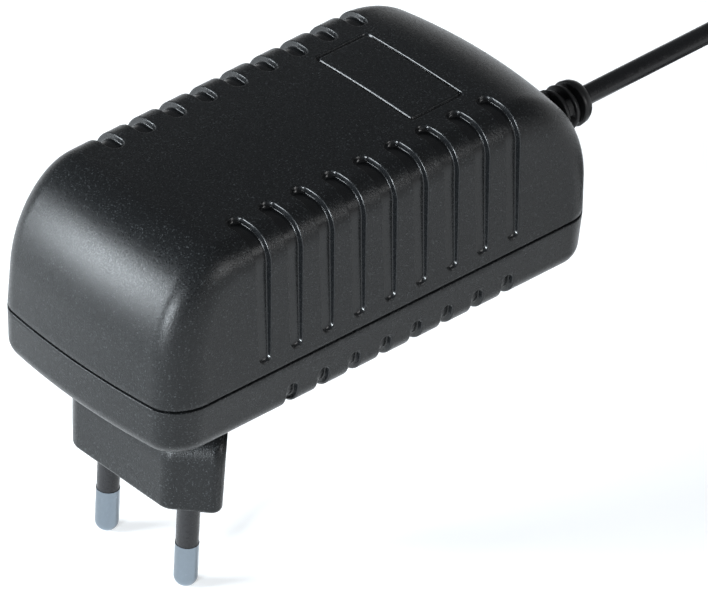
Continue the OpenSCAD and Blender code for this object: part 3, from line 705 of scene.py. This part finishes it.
def studio():
    """A pale floor on which the pin tips stand, and a white background that darkens overhead for the gloss."""
    scene = bpy.context.scene
    scene.view_settings.view_transform = "Standard"
    floor_mesh = bpy.data.meshes.new("floor")
    z, far = REST_Z * MM, 4
    floor_mesh.from_pydata([(-far, -far, z), (far, -far, z), (far, far, z), (-far, far, z)], [], [(0, 1, 2, 3)])
    floor = bpy.data.objects.new("floor", floor_mesh)
    bpy.context.collection.objects.link(floor)
    paper = bpy.data.materials.new("white_paper")
    paper.use_nodes = True
    n, links = paper.node_tree.nodes, paper.node_tree.links
    shader = n["Principled BSDF"]
    shader.inputs["Base Color"].default_value = (0.9, 0.9, 0.9, 1)
    shader.inputs["Roughness"].default_value = 0.9
    shader.inputs["Specular IOR Level"].default_value = 0.0
    path = n.new("ShaderNodeLightPath")
    seen = path.outputs["Is Camera Ray"]
    for ray in ("Is Glossy Ray", "Is Transmission Ray"):
        either = n.new("ShaderNodeMath")
        either.operation = "MAXIMUM"
        links.new(seen, either.inputs[0])
        links.new(path.outputs[ray], either.inputs[1])
        seen = either.outputs[0]
    lift = n.new("ShaderNodeMath")
    lift.operation = "MULTIPLY"
    lift.inputs[1].default_value = 0.28
    links.new(seen, lift.inputs[0])
    shader.inputs["Emission Color"].default_value = (1, 1, 1, 1)
    links.new(lift.outputs[0], shader.inputs["Emission Strength"])
    floor_mesh.materials.append(paper)

    world = bpy.data.worlds.new("studio")
    scene.world = world
    world.use_nodes = True
    n, links = world.node_tree.nodes, world.node_tree.links
    back = n["Background"]
    place = n.new("ShaderNodeTexCoord")
    split = n.new("ShaderNodeSeparateXYZ")
    links.new(place.outputs["Generated"], split.inputs[0])
    ramp = n.new("ShaderNodeValToRGB")
    ramp.color_ramp.elements[0].position = 0.03
    ramp.color_ramp.elements[0].color = (1, 1, 1, 1)
    ramp.color_ramp.elements[1].position = 0.16
    ramp.color_ramp.elements[1].color = (0.2, 0.21, 0.22, 1)
    links.new(split.outputs["Z"], ramp.inputs["Fac"])
    links.new(ramp.outputs["Color"], back.inputs["Color"])
    back.inputs["Strength"].default_value = 1.0


def softbox(name, place, aim, size, power, colour):
    """A rectangular lamp at a place, facing a point; metres and watts."""
    lamp = bpy.data.lights.new(name, "AREA")
    lamp.shape = "RECTANGLE"
    lamp.size, lamp.size_y = size
    lamp.energy = power
    lamp.color = colour
    box = bpy.data.objects.new(name, lamp)
    bpy.context.collection.objects.link(box)
    way = Vector(aim) - Vector(place)
    box.rotation_euler = way.to_track_quat("-Z", "Y").to_euler()
    box.location = place


# Putting it together

place_camera()
grain = grain_group()
# The case's colour carries painted glints: rare lighter spots that stand in for tiny highlights.
case_black = finish(
    "case_black", (0.0052, 0.0056, 0.006), 0.3, grain,
    spread=0.4, relief=1.0, size=4000.0, depth=0.00005, shine=0.22, painted_glint=0.035,
)  # fmt: skip
floor_black = finish(
    "groove_floor_black", (0.0062, 0.0068, 0.0075), 0.24, grain,
    spread=0.2, relief=0.3, size=2200.0, depth=0.00002, shine=0.32,
)  # fmt: skip
sheath_black = finish(
    "sheath_black", (0.009, 0.009, 0.01), 0.24, grain,
    spread=0.1, relief=0.12, size=900.0, shine=0.3,
)  # fmt: skip
soft_black = finish(
    "soft_black", (0.01, 0.01, 0.0105), 0.38, grain,
    spread=0.15, relief=0.3, size=1800.0, shine=0.25,
)  # fmt: skip
sleeve_black = finish(
    "sleeve_black", (0.01, 0.01, 0.011), 0.3, grain,
    spread=0.1, relief=0.15, size=1500.0, shine=0.3,
)  # fmt: skip
nickel = finish(
    "nickel_plate", (0.2, 0.235, 0.27), 0.2, grain,
    metallic=1.0, spread=0.1, relief=0.2, size=1800.0, depth=0.00001,
)  # fmt: skip

wind_lead(sheath_black)
upper_case(case_black, floor_black)
lower_case(case_black, floor_black)
plug_body(case_black)
strain_relief(soft_black)

# The pieces that show the solid parts themselves, most of them inside the case:
# colour, roughness, metallic and the names of the pieces
inner = {
    "copper_wire": ((0.6, 0.3, 0.14), 0.35, 1.0, ["pin_wire_near", "pin_wire_far", "choke_winding"]),
    "board_green": ((0.05, 0.2, 0.09), 0.45, 0.0, ["circuit_board"]),
    "fuse_brown": ((0.2, 0.09, 0.04), 0.45, 0.0, ["fuse", "output_choke"]),
    "epoxy_blue": ((0.05, 0.17, 0.42), 0.3, 0.0, ["varistor", "y_capacitor"]),
    "box_yellow": ((0.62, 0.46, 0.06), 0.4, 0.0, ["x_capacitor", "transformer_winding"]),
    "epoxy_black": (
        (0.02, 0.02, 0.022), 0.5, 0.0,
        [
            "bridge_rectifier", "controller_chip", "switching_transistor",
            "output_diode", "transformer_bobbin", "output_wire_minus",
        ],
    ),
    "sleeve_green": (
        (0.03, 0.1, 0.06), 0.35, 0.0,
        ["output_capacitor_front", "output_capacitor_rear", "bulk_capacitor"],
    ),
    "opto_white": ((0.75, 0.75, 0.72), 0.5, 0.0, ["optocoupler"]),
    "ferrite_grey": ((0.06, 0.06, 0.065), 0.6, 0.0, ["choke_core", "transformer_core"]),
    "sheet_aluminium": ((0.68, 0.69, 0.71), 0.35, 1.0, ["primary_heatsink", "secondary_heatsink"]),
    "wire_red": ((0.5, 0.03, 0.02), 0.35, 0.0, ["output_wire_plus"]),
    "tie_black": ((0.02, 0.02, 0.02), 0.4, 0.0, ["cord_tie"]),
    "gilt_contact": ((0.72, 0.53, 0.22), 0.28, 1.0, ["dc_plug_contact"]),
}  # fmt: skip


def dress(names, material):
    """Gives the named solid parts a finish."""
    for name in names:
        piece = nodes[name]
        for place in piece.material_slots:
            place.material = material
        if not piece.material_slots:
            piece.data.materials.append(material)


for name, (colour, roughness, metallic, names) in inner.items():
    dress(names, finish(name, colour, roughness, grain, metallic=metallic, spread=0.12, size=1400.0))
dress(["mains_pin_near", "mains_pin_far", "dc_plug_barrel"], nickel)
dress(["pin_sleeve_near", "pin_sleeve_far", "dc_plug_insulator"], sleeve_black)
dress(["dc_plug_grip"], soft_black)

studio()
softbox("key_softbox", (-0.76, 0.5, 0.28), (0, 0, 0.04), (0.46, 0.46), 24.0, (0.88, 0.95, 1.0))
softbox("corner_softbox", (-0.95, -0.3, 0.2), (0, 0, 0.04), (0.2, 0.26), 17.0, (0.88, 0.95, 1.0))
softbox("near_softbox", (0.35, -1.0, 0.5), (0.02, 0, 0.03), (0.5, 0.4), 5.0, (1, 1, 1))
